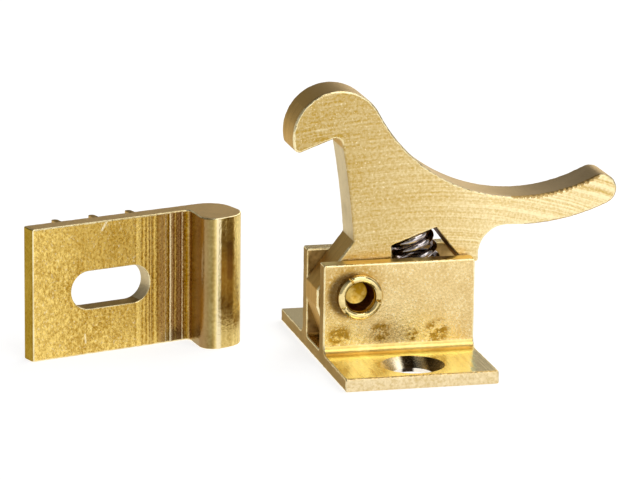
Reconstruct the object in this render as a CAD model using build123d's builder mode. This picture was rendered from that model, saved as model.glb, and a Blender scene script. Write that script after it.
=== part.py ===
import os
from math import acos, atan2, cos, degrees, hypot, pi, radians, sin, sqrt, tan

from build123d import *

# Finger pull latch in solid brass: a channel base, a sprung hook lever and a strike.
# Origin: middle of the base's underside. X runs towards the finger tail, Z away from the mounting face.

# Base: a slice of extruded channel section with a flange on each side
base_length = 20.0
base_width = 35.0
foot_thickness = 1.7
cheek_height = 11.65
cheek_thickness = 2.2
cheek_cove = 1.2
channel_corner = 0.5
foot_round = 0.35
cheek_round = 0.25

# Countersunk screw holes, one in each flange
hole_spacing = 25.0
screw_hole_diameter = 5.2
countersink_diameter = 8.1
countersink_angle = 100.0

# Pivot axis: along Y, placed from the base's middle and from the top of the foot
pivot_offset = -5.3
pivot_rise = 7.4

# Lever: a slice of extruded section, drawn about the pivot in its pressed position
lever_thickness = 6.0
side_clearance = 0.4
rest_tilt = 20.5
hook_radius = 6.0
hook_x = 5.0
hook_z = 19.9
neck_radius = 22.0
neck_angle = 7.5
tail_angle = 5.5
tail_end_radius = 2.0
tail_under_radius = 28.2
tail_under_angle = 3.1
heel_radius = 3.8
heel_x = 20.4
heel_cut = 9.0
throat_x = 5.3
shank_bow = 0.22
kink_x = 2.2
kink_z = 6.3
toe_x = -5.3
toe_corner_z = 0.05
toe_bevel_width = 0.8
toe_bevel_height = 2.1
toe_round = 0.5
stop_gap = 0.05
lever_deburr = 0.25
nose_round = 0.8
throat_round = 0.9
corner_round = 0.4

# Spring pocket: a notch through the lever's thickness, splayed on both sides
pocket_x = 6.6
pocket_z = 3.65
pocket_wall = 2.0
pocket_splay = 17.0
pocket_clearance = 0.12
pocket_round = 0.2

# Compression spring: closed and ground ends, bent between the foot and the tilted pocket.
# Its round wire is drawn six-sided.
spring_diameter = 6.0
spring_wire = 0.8
spring_wire_sides = 6
spring_active_turns = 8
spring_end_turns = 1
spring_grind = 0.22
spring_points_per_turn = 8

# Semi-tubular rivet: plain head at the back, rolled rim at the front, both drawn with bevelled edges
rivet_diameter = 5.0
rivet_clearance = 0.02
pivot_clearance = 0.05
rivet_head_diameter = 7.0
rivet_head_height = 1.1
rivet_head_bevel = 0.6
rim_wall = 1.0
rim_height = 0.95
rim_bevel = 0.35
rivet_bore_diameter = 3.9
rivet_bore_depth = 3.4
rivet_bore_cone = 118.0

# Strike: a slice of extruded section standing on its sawn end beside the base
strike_height = 17.5
strike_thickness = 2.5
strike_inner_length = 23.0
lip_width = 5.8
lip_rise = 6.4
lip_undercut = 10.0
lip_slope = 8.0
lip_back_round = 3.2
lip_outer_round = 3.4
lip_inner_round = 1.2
lip_cove = 0.6
strike_end_round = 0.45
slot_length = 11.4
slot_width = 5.0
slot_middle = 11.4
slot_rise = 8.55
rib_count = 3
rib_spacing = 5.5
rib_first = 4.65
rib_height = 1.2
rib_radius = 0.45
rib_relief = 0.8
strike_x = -46.0
strike_y = 3.8
strike_yaw = 17.4

# Sizes that follow from the ones above
channel_width = lever_thickness + 2 * side_clearance
cheek_outside = channel_width / 2 + cheek_thickness
cheek_top = foot_thickness + cheek_height
pivot_height = foot_thickness + pivot_rise
pocket_width = spring_diameter + 2 * pocket_clearance
pivot_plane = Plane(origin=(pivot_offset, 0, pivot_height), x_dir=(1, 0, 0), z_dir=(0, -1, 0))
lever_plane = pivot_plane.rotated((0, -rest_tilt, 0))


def polar(centre, radius, angle):
    """Point at a distance and a direction in degrees from a centre."""
    return (centre[0] + radius * cos(radians(angle)), centre[1] + radius * sin(radians(angle)))


def nearest(sketch, *points):
    """Corners of a sketch that lie at the given points."""
    return [sketch.vertices().sort_by_distance((*point, 0))[0] for point in points]


# Base
with BuildPart() as base:
    with BuildSketch(Plane.YZ) as base_section:
        Rectangle(base_width, foot_thickness, align=(Align.CENTER, Align.MIN))
        cheek_middle = (channel_width + cheek_thickness) / 2
        with Locations((-cheek_middle, foot_thickness), (cheek_middle, foot_thickness)):
            Rectangle(cheek_thickness, cheek_height, align=(Align.CENTER, Align.MIN))
        sides = (-1, 1)
        fillet(nearest(base_section, *[(s * cheek_outside, foot_thickness) for s in sides]), cheek_cove)
        fillet(nearest(base_section, *[(s * channel_width / 2, foot_thickness) for s in sides]), channel_corner)
        fillet(nearest(base_section, *[(s * base_width / 2, foot_thickness) for s in sides]), foot_round)
        for edge_y in (cheek_outside, channel_width / 2):
            fillet(nearest(base_section, *[(s * edge_y, cheek_top) for s in sides]), cheek_round)
    extrude(amount=base_length / 2, both=True)
    with Locations(Plane.XY.offset(foot_thickness)):
        with GridLocations(0, hole_spacing, 1, 2):
            CounterSinkHole(
                screw_hole_diameter / 2, countersink_diameter / 2, counter_sink_angle=countersink_angle
            )
    with BuildSketch(pivot_plane):
        Circle(rivet_diameter / 2 + rivet_clearance)
    extrude(amount=cheek_outside, both=True, mode=Mode.SUBTRACT)
base.part.label = "base"

# Lever outline, from the throat round the hook, the tail, the pocket and the pivot lobe
hook_centre = (hook_x, hook_z)
neck_centre = polar(hook_centre, hook_radius + neck_radius, neck_angle)
tail_centre = polar(neck_centre, neck_radius + tail_end_radius, tail_angle - 90)
under_centre = polar(tail_centre, tail_under_radius - tail_end_radius, tail_under_angle + 90)
heel_drop = sqrt((tail_under_radius + heel_radius) ** 2 - (under_centre[0] - heel_x) ** 2)
heel_centre = (heel_x, under_centre[1] - heel_drop)
heel_angle = degrees(atan2(-heel_drop, heel_x - under_centre[0]))
stop_depth = pivot_rise - stop_gap
toe_tilt = radians(rest_tilt)
toe_reach = -toe_x - toe_round
toe_depth = (stop_depth - toe_round - toe_reach * sin(toe_tilt)) / cos(toe_tilt) + toe_round
wall_end = (pocket_x - pocket_wall * tan(radians(pocket_splay)), pocket_z - pocket_wall)
lobe_angle = degrees(
    atan2(wall_end[1], wall_end[0]) - acos(toe_depth / hypot(wall_end[0], wall_end[1]))
)
nose = (hook_x - hook_radius, hook_z)
throat = (throat_x, hook_z)
kink = (kink_x, kink_z)
toe_top = (toe_x + toe_bevel_width, toe_corner_z + toe_bevel_height)
toe_side = (toe_x, toe_corner_z)
toe = (toe_x, -toe_depth)
pocket_left = (pocket_x, pocket_z)
pocket_right = (pocket_x + pocket_width, pocket_z)
heel_tip = polar(heel_centre, heel_radius, 180 - heel_cut)
splay_run = (pocket_z - heel_tip[1]) * tan(radians(pocket_splay))
heel_inside = (pocket_right[0] + splay_run, heel_tip[1])

with BuildPart() as lever:
    with BuildSketch(lever_plane) as lever_section:
        with BuildLine():
            CenterArc(hook_centre, hook_radius, neck_angle, 180 - neck_angle)
            CenterArc(neck_centre, neck_radius, 180 + neck_angle, 90 + tail_angle - neck_angle)
            CenterArc(tail_centre, tail_end_radius, tail_under_angle - 90, 180 + tail_angle - tail_under_angle)
            CenterArc(under_centre, tail_under_radius, heel_angle, tail_under_angle - 90 - heel_angle)
            CenterArc(heel_centre, heel_radius, heel_angle + 180, -heel_angle - heel_cut)
            lobe_end = polar((0, 0), toe_depth, lobe_angle)
            Polyline(heel_tip, heel_inside, pocket_right, pocket_left, wall_end, lobe_end)
            CenterArc((0, 0), toe_depth, -90, 90 + lobe_angle)
            Polyline((0, -toe_depth), toe, toe_side, toe_top, kink)
            SagittaArc(kink, throat, -shank_bow)
            Line(throat, nose)
        make_face()
        fillet(nearest(lever_section, nose), nose_round)
        fillet(nearest(lever_section, throat), throat_round)
        fillet(nearest(lever_section, toe), toe_round)
        fillet(nearest(lever_section, pocket_left, pocket_right), pocket_round)
        rounded = (kink, toe_top, toe_side, wall_end, heel_tip, heel_inside)
        fillet(nearest(lever_section, *rounded), corner_round)
        Circle(rivet_diameter / 2 + pivot_clearance, mode=Mode.SUBTRACT)
    extrude(amount=lever_thickness / 2, both=True)
    outlines = [face.outer_wire().edges() for face in lever.faces().filter_by(Axis.Y)]
    chamfer(outlines[0] + outlines[1], lever_deburr)
lever.part.label = "lever"

# Rivet, turned about the pivot axis; its section runs from the back head to the front rim
rim_outside = rivet_bore_diameter / 2 + rim_wall
rim_top = cheek_outside + rim_height
rim_base = rim_top - rim_wall / 2
bore_floor = rim_top - rivet_bore_depth
bore_tip = bore_floor - rivet_bore_diameter / 2 / tan(radians(rivet_bore_cone / 2))
head_top = -cheek_outside - rivet_head_height
head_radius = rivet_head_diameter / 2
rivet_plane = Plane(origin=pivot_plane.origin, x_dir=(0, -1, 0), z_dir=(-1, 0, 0))

with BuildPart() as pivot_rivet:
    with BuildSketch(rivet_plane) as rivet_section:
        with BuildLine():
            Polyline(
                (rim_base, rivet_bore_diameter / 2),
                (bore_floor, rivet_bore_diameter / 2),
                (bore_tip, 0),
                (head_top, 0),
                (head_top, head_radius),
                (-cheek_outside, head_radius),
                (-cheek_outside, rivet_diameter / 2),
                (cheek_outside, rivet_diameter / 2),
                (cheek_outside, rim_outside),
                (rim_base, rim_outside),
                (rim_top, rim_outside - rim_bevel),
                (rim_top, rivet_bore_diameter / 2 + rim_bevel),
                close=True,
            )
        make_face()
        chamfer(nearest(rivet_section, (head_top, head_radius)), rivet_head_bevel)
    revolve(axis=Axis(pivot_plane.origin, (0, 1, 0)))
pivot_rivet.part.label = "pivot_rivet"

# Spring: its axis is an arc, upright on the foot and square to the pocket's end
pocket_middle = lever_plane.from_local_coords((pocket_x + pocket_width / 2, pocket_z, 0))
bend = radians(rest_tilt)
bend_radius = (pocket_middle.Z - foot_thickness) / sin(bend)
bend_centre_x = pocket_middle.X - bend_radius * cos(bend)
spring_length = bend_radius * bend
coil_radius = (spring_diameter - spring_wire) / 2
spring_turns = spring_active_turns + 2 * spring_end_turns
end_rise = spring_end_turns * spring_wire
wire_inset = spring_wire / 2 - spring_grind
active_rise = spring_length - 2 * end_rise - 2 * wire_inset


def spring_point(turn):
    """Point of the wire's centre line after a number of turns from the foot."""
    end_turns = min(turn, spring_end_turns) + max(turn - spring_end_turns - spring_active_turns, 0)
    active_share = min(max(turn - spring_end_turns, 0) / spring_active_turns, 1)
    rise = wire_inset + end_turns * spring_wire + active_share * active_rise
    angle = rise / bend_radius
    reach = bend_radius + coil_radius * cos(2 * pi * turn)
    return (
        bend_centre_x + reach * cos(angle),
        coil_radius * sin(2 * pi * turn),
        foot_thickness + reach * sin(angle),
    )


with BuildPart() as spring:
    with BuildLine() as wire_line:
        wire_steps = spring_turns * spring_points_per_turn
        Spline(*[spring_point(step / spring_points_per_turn) for step in range(wire_steps + 1)])
    with BuildSketch(wire_line.line ^ 0):
        RegularPolygon(spring_wire / 2, spring_wire_sides)
    sweep(path=wire_line.wires()[0], is_frenet=True)
    split(bisect_by=Plane.XY.offset(foot_thickness), keep=Keep.TOP)
    pocket_end = Plane(origin=pocket_middle, z_dir=(sin(bend), 0, -cos(bend)))
    split(bisect_by=pocket_end, keep=Keep.TOP)
spring.part.label = "spring"

# Strike: plate with a hooked lip in front, seen from above; X along the plate, Y towards its back
strike_plane = Plane(origin=(strike_x, strike_y, 0)).rotated((0, 0, strike_yaw))
lip_inner = (strike_inner_length - lip_rise * tan(radians(lip_undercut)), -lip_rise)
strike_length = strike_inner_length + lip_width
lip_outer = (strike_length, (strike_length - lip_inner[0]) * tan(radians(lip_slope)) - lip_rise)
slot_plane = Plane(origin=strike_plane.origin, x_dir=strike_plane.x_dir, z_dir=-strike_plane.y_dir)

with BuildPart() as strike_plate:
    with BuildSketch(strike_plane) as strike_section:
        with BuildLine():
            Polyline(
                (0, 0),
                (strike_inner_length, 0),
                lip_inner,
                lip_outer,
                (strike_length, strike_thickness),
                (0, strike_thickness),
                close=True,
            )
        make_face()
        fillet(nearest(strike_section, (strike_inner_length, 0)), lip_cove)
        fillet(nearest(strike_section, lip_inner), lip_inner_round)
        fillet(nearest(strike_section, lip_outer), lip_outer_round)
        fillet(nearest(strike_section, (strike_length, strike_thickness)), lip_back_round)
        fillet(nearest(strike_section, (0, 0), (0, strike_thickness)), strike_end_round)
        rib_places = [(rib_first + n * rib_spacing, strike_thickness) for n in range(rib_count)]
        rib_stem = rib_height - rib_radius
        with Locations(*rib_places):
            Rectangle(2 * rib_radius, rib_stem, align=(Align.CENTER, Align.MIN))
        with Locations(*[(x, y + rib_stem) for x, y in rib_places]):
            Circle(rib_radius)
    extrude(amount=strike_height)
    with BuildSketch(slot_plane):
        with Locations((slot_middle, slot_rise)):
            SlotOverall(slot_length, slot_width)
    extrude(amount=-strike_thickness, mode=Mode.SUBTRACT)
    with BuildSketch(slot_plane.offset(-strike_thickness)):
        with Locations((slot_middle, slot_rise)):
            SlotOverall(slot_length + 2 * rib_relief, slot_width + 2 * rib_relief)
    extrude(amount=-rib_height, mode=Mode.SUBTRACT)
strike_plate.part.label = "strike_plate"

os.makedirs("parts", exist_ok=True)
for piece in (base, lever, pivot_rivet, spring, strike_plate):
    export_step(piece.part, f"parts/{piece.part.label}.step")
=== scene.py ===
from math import acos, atan2, cos, degrees, hypot, pi, radians, sin, sqrt, tan

import bmesh
import bpy
from mathutils import Matrix, Vector, noise


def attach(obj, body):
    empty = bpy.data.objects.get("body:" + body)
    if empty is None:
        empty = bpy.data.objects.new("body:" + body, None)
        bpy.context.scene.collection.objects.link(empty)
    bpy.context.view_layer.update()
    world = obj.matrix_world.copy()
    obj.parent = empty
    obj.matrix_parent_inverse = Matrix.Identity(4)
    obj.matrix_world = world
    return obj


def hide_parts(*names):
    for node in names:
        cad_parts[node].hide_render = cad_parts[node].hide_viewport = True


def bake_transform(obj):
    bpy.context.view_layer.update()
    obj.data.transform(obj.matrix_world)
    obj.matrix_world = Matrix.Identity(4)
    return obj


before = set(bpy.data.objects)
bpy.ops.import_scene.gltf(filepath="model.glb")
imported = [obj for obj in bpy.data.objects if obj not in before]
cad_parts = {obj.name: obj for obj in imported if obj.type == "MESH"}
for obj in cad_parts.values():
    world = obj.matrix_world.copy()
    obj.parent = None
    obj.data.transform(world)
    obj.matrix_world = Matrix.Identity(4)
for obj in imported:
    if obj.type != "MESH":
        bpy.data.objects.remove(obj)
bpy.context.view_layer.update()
mm = 0.001
scene = bpy.context.scene
print("frame loaded:", sorted(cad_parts))


# outlines, in millimetres

def onCircle(centre, radius, angle):
    return (centre[0] + radius * cos(radians(angle)), centre[1] + radius * sin(radians(angle)))


def arcRun(centre, radius, start, sweep, steps):
    return [(*onCircle(centre, radius, start + sweep * k / steps), 0) for k in range(steps + 1)]


def stepAlong(points, i, way, length):
    # walks from corner i along its neighbours; gives the point reached and the neighbours passed
    here, passed = Vector(points[i][:2]), []
    while True:
        j = (i + way) % len(points)
        there = Vector(points[j][:2])
        gap = (there - here).length
        if gap > length:
            return here + (there - here) * (length / gap), passed
        length -= gap
        here, i = there, j
        passed.append(j)


def cornerArc(points, i, steps):
    # arc that rounds corner i, and the points that it swallows
    p = Vector(points[i][:2])
    a = (Vector(points[i - 1][:2]) - p).normalized()
    b = (Vector(points[(i + 1) % len(points)][:2]) - p).normalized()
    half = a.angle(b) / 2
    reach = points[i][2] / tan(half)
    start, back = stepAlong(points, i, -1, reach)
    end, ahead = stepAlong(points, i, 1, reach)
    arc = []
    for k in range(steps + 1):
        share = k / steps
        weights = (1 - share) ** 2, 2 * share * (1 - share) * sin(half), share * share
        arc.append((start * weights[0] + p * weights[1] + end * weights[2]) / sum(weights))
    return arc, back + ahead


def softOutline(points, spacing, roundSteps=7):
    # points are (x, y, rounding); rounded corners become arcs and long runs are divided
    rounds, dropped = {}, set()
    for i, point in enumerate(points):
        if point[2]:
            rounds[i], swallowed = cornerArc(points, i, roundSteps)
            dropped.update(swallowed)
    run = []
    for i, point in enumerate(points):
        if i not in dropped:
            run += rounds.get(i, [Vector(point[:2])])
    outline = []
    for i, p in enumerate(run):
        q = run[(i + 1) % len(run)]
        gap = (q - p).length
        if gap > 1e-6:
            parts = max(1, round(gap / spacing))
            outline += [p + (q - p) * (k / parts) for k in range(parts)]
    area = sum(a.x * b.y - b.x * a.y for a, b in zip(outline, outline[1:] + outline[:1]))
    return outline if area > 0 else outline[::-1]


def insetRing(outline, amounts):
    # outline moved into the material, by a different amount at each point
    ring = []
    for i, p in enumerate(outline):
        a = (p - outline[i - 1]).normalized()
        b = (outline[(i + 1) % len(outline)] - p).normalized()
        inward = (Vector((-a.y, a.x)) + Vector((-b.y, b.x))).normalized()
        ring.append(p + inward * amounts[i] / max(0.5, inward.dot(Vector((-a.y, a.x)))))
    return ring


# meshes

def newObject(name, bm, *mats):
    mesh = bpy.data.meshes.new(name)
    bm.to_mesh(mesh)
    bm.free()
    obj = bpy.data.objects.new(name, mesh)
    scene.collection.objects.link(obj)
    for mat in mats:
        mesh.materials.append(mat)
    return obj


def bridge(bm, ringA, ringB, index):
    count = len(ringA)
    for i in range(count):
        j = (i + 1) % count
        bm.faces.new((ringA[i], ringA[j], ringB[j], ringB[i])).material_index = index


def edgeWidths(ring, side, burr, ragged, teeth):
    # how far the softened edge reaches in at each point, a little uneven; teeth are on the near side
    widths = []
    for p in ring:
        uneven = noise.noise(Vector((p.x * 2.1, p.y * 2.1, 7.0 * side)))
        widths.append(burr * (1 + ragged * uneven) + (teeth(p) if teeth and side == 0 else 0.0))
    return widths


def sectionSlice(name, outline, low, high, look, place, mats, holes=(), steps=4, teeth=None):
    # a slice of an extruded section with softened edges: mats are sawn face, skin, edge
    bm = bmesh.new()
    edges = {0: [], 1: []}
    for ring, burr in [(outline, look["deburr"])] + [(hole, look["deburr"] * 0.5) for hole in holes]:
        rings = []
        for side, level in ((0, low), (1, high)):
            inwards = 1 if side == 0 else -1
            widths = edgeWidths(ring, side, burr, look["ragged"], teeth)
            layers = []
            for k in range(steps + 1):
                turn = radians(90 * k / steps)
                moved = insetRing(ring, [w * (1 - sin(turn)) for w in widths])
                layers.append([
                    bm.verts.new(place(p.x, p.y, level + inwards * w * (1 - cos(turn))))
                    for p, w in zip(moved, widths)
                ])
            for first, second in zip(layers, layers[1:]):
                bridge(bm, first, second, 2)
            edges[side] += [
                bm.edges.get((a, b)) for a, b in zip(layers[0], layers[0][1:] + layers[0][:1])
            ]
            rings.append(layers[-1])
        bridge(bm, rings[0], rings[1], 1)
    for side in (0, 1):
        filled = bmesh.ops.triangle_fill(bm, use_beauty=True, edges=edges[side])
        for face in filled["geom"]:
            if isinstance(face, bmesh.types.BMFace):
                face.material_index = 0
    bmesh.ops.remove_doubles(bm, verts=bm.verts, dist=1e-7)
    bmesh.ops.recalc_face_normals(bm, faces=bm.faces)
    return newObject(name, bm, *mats)


def stackedRings(name, rings, *mats, bands=None):
    # closed solid through rings of points that have the same count; bands picks a finish for each step
    bm = bmesh.new()
    layers = [[bm.verts.new(p) for p in ring] for ring in rings]
    for k, (first, second) in enumerate(zip(layers, layers[1:])):
        bridge(bm, first, second, bands[k] if bands else 0)
    bm.faces.new(layers[0])
    bm.faces.new(layers[-1])
    bmesh.ops.recalc_face_normals(bm, faces=bm.faces)
    return newObject(name, bm, *mats)


def ringAt(centre, radius, along, sideways, up, height, count=96):
    turns = [2 * pi * k / count for k in range(count)]
    return [(centre + (along * cos(a) + sideways * sin(a)) * radius + up * height) * mm for a in turns]


def bakeModifiers(obj):
    graph = bpy.context.evaluated_depsgraph_get()
    mesh = bpy.data.meshes.new_from_object(
        obj.evaluated_get(graph), preserve_all_data_layers=True, depsgraph=graph
    )
    obj.modifiers.clear()
    obj.data = mesh


def cutAway(obj, *cutters):
    for cutter in cutters:
        cut = obj.modifiers.new("cut", "BOOLEAN")
        cut.operation, cut.solver, cut.object = "DIFFERENCE", "EXACT", cutter
        cut.material_mode = "TRANSFER"
    bakeModifiers(obj)
    for cutter in cutters:
        bpy.data.objects.remove(cutter)


def refinish(obj, *zones):
    # each zone is a finish and a test that picks faces by their middle, in millimetres, and normal
    for mat, chosen in zones:
        obj.data.materials.append(mat)
        for face in obj.data.polygons:
            if chosen(face.center / mm, face.normal):
                face.material_index = len(obj.data.materials) - 1


def smoothOff(obj, sharpAngle=32):
    obj.data.shade_smooth()
    obj.data.set_sharp_from_angle(angle=radians(sharpAngle))
    weighted = obj.modifiers.new("flat faces stay flat", "WEIGHTED_NORMAL")
    weighted.keep_sharp = True
    bakeModifiers(obj)
    return obj


# shader nodes

def plug(tree, value, socket):
    # another node's output is linked, and a fixed value is set
    if isinstance(value, bpy.types.NodeSocket):
        tree.links.new(value, socket)
    else:
        socket.default_value = value


def addMath(tree, kind, *values, clamp=False):
    node = tree.nodes.new("ShaderNodeMath")
    node.operation, node.use_clamp = kind, clamp
    for value, socket in zip(values, node.inputs):
        plug(tree, value, socket)
    return node.outputs[0]


def addVector(tree, kind, first, second=None, output=0):
    node = tree.nodes.new("ShaderNodeVectorMath")
    node.operation = kind
    plug(tree, first, node.inputs[0])
    if second is not None:
        plug(tree, second, node.inputs["Scale" if kind == "SCALE" else 1])
    return node.outputs[output]


def addMix(tree, first, second, factor):
    node = tree.nodes.new("ShaderNodeMix")
    node.data_type = "RGBA"
    plug(tree, first, node.inputs["A"])
    plug(tree, second, node.inputs["B"])
    plug(tree, factor, node.inputs["Factor"])
    return node.outputs["Result"]


def addNoise(tree, over, perMetre, detail=2.0, rough=0.5):
    # noise over a place, or over a distance along a path
    node = tree.nodes.new("ShaderNodeTexNoise")
    distance = over.type == "VALUE"
    node.noise_dimensions = "1D" if distance else "3D"
    for name, number in {"Scale": perMetre, "Detail": detail, "Roughness": rough}.items():
        node.inputs[name].default_value = number
    tree.links.new(over, node.inputs["W" if distance else "Vector"])
    return node.outputs["Fac"]


def addRange(tree, value, fromLow, fromHigh, toLow=0.0, toHigh=1.0):
    node = tree.nodes.new("ShaderNodeMapRange")
    node.interpolation_type = "SMOOTHSTEP"
    tree.links.new(value, node.inputs["Value"])
    limits = {"From Min": fromLow, "From Max": fromHigh, "To Min": toLow, "To Max": toHigh}
    for name, number in limits.items():
        node.inputs[name].default_value = number
    return node.outputs["Result"]


def centred(tree, fac):
    # noise spread out to run from -0.5 to 0.5
    return addRange(tree, fac, 0.3, 0.7, -0.5, 0.5)


# metal

def metalFinish(
    name, light, dark, tone, roughness, dullShare=0.1, rimTint=(1.0, 0.95, 0.8), grain=(0.3, 0.24, 0.06),
    cloud=(3.0, 0.2), bump=0.15, lines=(), sweeps=(), shade=None, marks=(),
):
    # tone runs from the dark colour at 0 to the light one at 1, moved by grain (millimetres, share, height),
    # cloud (millimetres, share), lines and sweeps; shade dims it all, and marks lay another metal over it
    mat = bpy.data.materials.new(name)
    mat.use_nodes = True
    tree = mat.node_tree
    shader = tree.nodes["Principled BSDF"]
    shader.inputs["Metallic"].default_value = 1.0
    shader.inputs["Specular Tint"].default_value = (*rimTint, 1)
    place = tree.nodes.new("ShaderNodeTexCoord").outputs["Object"]
    grainSize, grainShare, grainHeight = grain
    cloudSize, cloudShare = cloud
    fine = centred(tree, addNoise(tree, place, 1000 / grainSize, 3.0, 0.6))
    broad = centred(tree, addNoise(tree, place, 1000 / cloudSize))
    level = addMath(tree, "MULTIPLY_ADD", fine, grainShare, tone)
    level = addMath(tree, "MULTIPLY_ADD", broad, cloudShare, level)
    height = addMath(tree, "MULTIPLY", fine, grainHeight)
    for line in lines:
        ridges = centred(tree, addNoise(tree, line["path"](tree, place), 1000 / line["pitch"]))
        if "where" in line:
            ridges = addMath(tree, "MULTIPLY", ridges, line["where"](tree, place))
        level = addMath(tree, "MULTIPLY_ADD", ridges, line["share"], level)
        height = addMath(tree, "MULTIPLY_ADD", ridges, line["height"], height)
    for sweep in sweeps:
        level = addMath(tree, "ADD", level, sweep(tree, place))
    level = addMath(tree, "MAXIMUM", level, 0.0, clamp=True)
    colour = addMix(tree, (*dark, 1), (*light, 1), level)
    if shade:
        colour = addVector(tree, "SCALE", colour, shade(tree, place))
    for metal, where in marks:
        colour = addMix(tree, colour, (*metal, 1), where(tree, place))
    plug(tree, colour, shader.inputs["Base Color"])
    dull = addMath(tree, "MULTIPLY_ADD", fine, dullShare, roughness, clamp=True)
    plug(tree, dull, shader.inputs["Roughness"])
    relief = tree.nodes.new("ShaderNodeBump")
    relief.inputs["Strength"].default_value = 1.0
    relief.inputs["Distance"].default_value = bump * mm
    plug(tree, height, relief.inputs["Height"])
    plug(tree, relief.outputs["Normal"], shader.inputs["Normal"])
    return mat


# marks on metal, in millimetres; a mark is given its sizes first, and its tree and place by the finish

def along(tree, place, direction):
    return addVector(tree, "DOT_PRODUCT", place, direction, "Value")


def reachOf(tree, vector):
    return addVector(tree, "LENGTH", vector, output="Value")


def mark(addNodes):
    def withSizes(*sizes, **named):
        return lambda tree, place: addNodes(tree, place, *sizes, **named)
    return withSizes


@mark
def ringsAbout(tree, place, centre, waver, wavesPerMetre=220.0):
    # distance from a far centre, as a round saw leaves it, a little unsteady
    shifted = addVector(tree, "SUBTRACT", place, (centre[0] * mm, 0, centre[1] * mm))
    far = reachOf(tree, addVector(tree, "MULTIPLY", shifted, (1, 0, 1)))
    return addMath(tree, "MULTIPLY_ADD", addNoise(tree, place, wavesPerMetre, 1.0), waver * mm, far)


@mark
def barsAlong(tree, place, direction, waver, wavesPerMetre=150.0):
    # distance along a direction, so that marks lie across it
    far = along(tree, place, direction)
    return addMath(tree, "MULTIPLY_ADD", addNoise(tree, place, wavesPerMetre, 1.0), waver * mm, far)


@mark
def between(tree, place, direction, start, end, low, high):
    # strength that changes along a direction
    return addRange(tree, along(tree, place, direction), start * mm, end * mm, low, high)


@mark
def bar(tree, place, direction, middle, half, strength, core=0.3):
    # soft band across a direction, strongest at its middle
    off = addMath(tree, "SUBTRACT", along(tree, place, direction), middle * mm)
    return addRange(tree, addMath(tree, "ABSOLUTE", off), half * core * mm, half * mm, strength, 0.0)


@mark
def softSpot(tree, place, at, radius, strength, core=0.3):
    # soft spot about a point, at full strength over its core; it lays stains, and the painted shadow beside
    # the rivet
    far = reachOf(tree, addVector(tree, "SUBTRACT", place, tuple(v * mm for v in at)))
    return addRange(tree, far, radius * core * mm, radius * mm, strength, 0.0)


@mark
def across(tree, place, first, second, start=0.0):
    # one strength times another
    return addMath(tree, "MULTIPLY_ADD", first(tree, place), second(tree, place), start)


@mark
def total(tree, place, *parts, share=1.0, start=0.0):
    # several strengths added up
    value = start
    for part in parts:
        value = addMath(tree, "MULTIPLY_ADD", part(tree, place), share, value)
    return value


@mark
def columns(tree, place, path, pitch, low, high, share):
    # a few of many lines, picked by their strength
    return addRange(tree, addNoise(tree, path(tree, place), 1000 / pitch, 3.0), low, high, 0.0, share)


@mark
def patches(tree, place, size, stretch=(1.0, 1.0, 1.0), edge=0.47, blur=0.07):
    # scattered grainy spots
    spots = addNoise(tree, addVector(tree, "MULTIPLY", place, stretch), 1000 / size, 6.0, 0.78)
    return addRange(tree, spots, edge - blur, edge + blur, 1.0, 0.0)


@mark
def specks(tree, place, size, share, low=0.62, high=0.72):
    # small bright points
    return addRange(tree, addNoise(tree, place, 1000 / size, 1.0), low, high, 0.0, share)


@mark
def straightMark(tree, place, start, end, width, strength, core=0.3):
    # straight mark from one point to another; it lays nicks, a painted dark reflection down the lip and a
    # painted glint in the rivet's bore
    run = (Vector(end) - Vector(start)) * mm
    off = addVector(tree, "SUBTRACT", place, Vector(start) * mm)
    share = along(tree, off, run / run.length_squared)
    share = addMath(tree, "MAXIMUM", addMath(tree, "MINIMUM", share, 1.0), 0.0)
    far = reachOf(tree, addVector(tree, "SUBTRACT", off, addVector(tree, "SCALE", run, share)))
    return addRange(tree, far, width * core * mm, width * mm, strength, 0.0)


# finishes that several pieces share

cream, buff = (1.0, 0.88, 0.58), (0.92, 0.70, 0.38)
umber, bistre = (0.36, 0.20, 0.085), (0.07, 0.032, 0.008)

# the bar's own skin, with painted shade: darker on the faces that turn away from the light
brassSkinShaded = metalFinish(
    "brassSkinShaded", light=(0.74, 0.51, 0.20), dark=(0.30, 0.18, 0.055), tone=0.5, roughness=0.42,
    rimTint=(0.92, 0.74, 0.48), grain=(0.3, 0.24, 0.08), cloud=(4.0, 0.25),
    lines=[{"path": barsAlong((0, 1, 0), 0.1), "pitch": 0.5, "share": 0.2, "height": 0.03}],
)
brassPaleSkin = metalFinish(
    "brassPaleSkin", light=(0.82, 0.68, 0.42), dark=(0.42, 0.32, 0.16), tone=0.42, roughness=0.42,
    cloud=(2.5, 0.3),
)
brassEdge = metalFinish(
    "brassEdge", light=(1.0, 0.88, 0.54), dark=(0.62, 0.42, 0.12), tone=0.75, roughness=0.3,
    grain=(0.5, 0.5, 0.1), cloud=(3.0, 0.4),
)
# the sawn surface, with painted shade: darker on the ends that turn away from the light
brassSawnEndShaded = metalFinish(
    "brassSawnEndShaded", light=(0.66, 0.47, 0.22), dark=(0.24, 0.15, 0.05), tone=0.30, roughness=0.5,
    rimTint=(0.9, 0.75, 0.5), grain=(0.3, 0.28, 0.1),
)
brassBore = metalFinish(
    "brassBore", light=(0.26, 0.14, 0.05), dark=(0.05, 0.025, 0.01), tone=0.42, roughness=0.4,
    rimTint=(0.4, 0.27, 0.15), grain=(0.5, 0.4, 0.06), cloud=(1.0, 0.5), bump=0.1,
    # painted highlight: a cream glint low on the right of the rivet's bore wall
    marks=[(cream, straightMark((-4.22, -5.5, 7.5), (-3.49, -5.5, 8.44), 0.3, 0.95))],   # glint in the rivet
)
print("shared finishes:", len(bpy.data.materials))


# lever, drawn level about the pivot and turned to its rest angle

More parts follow.
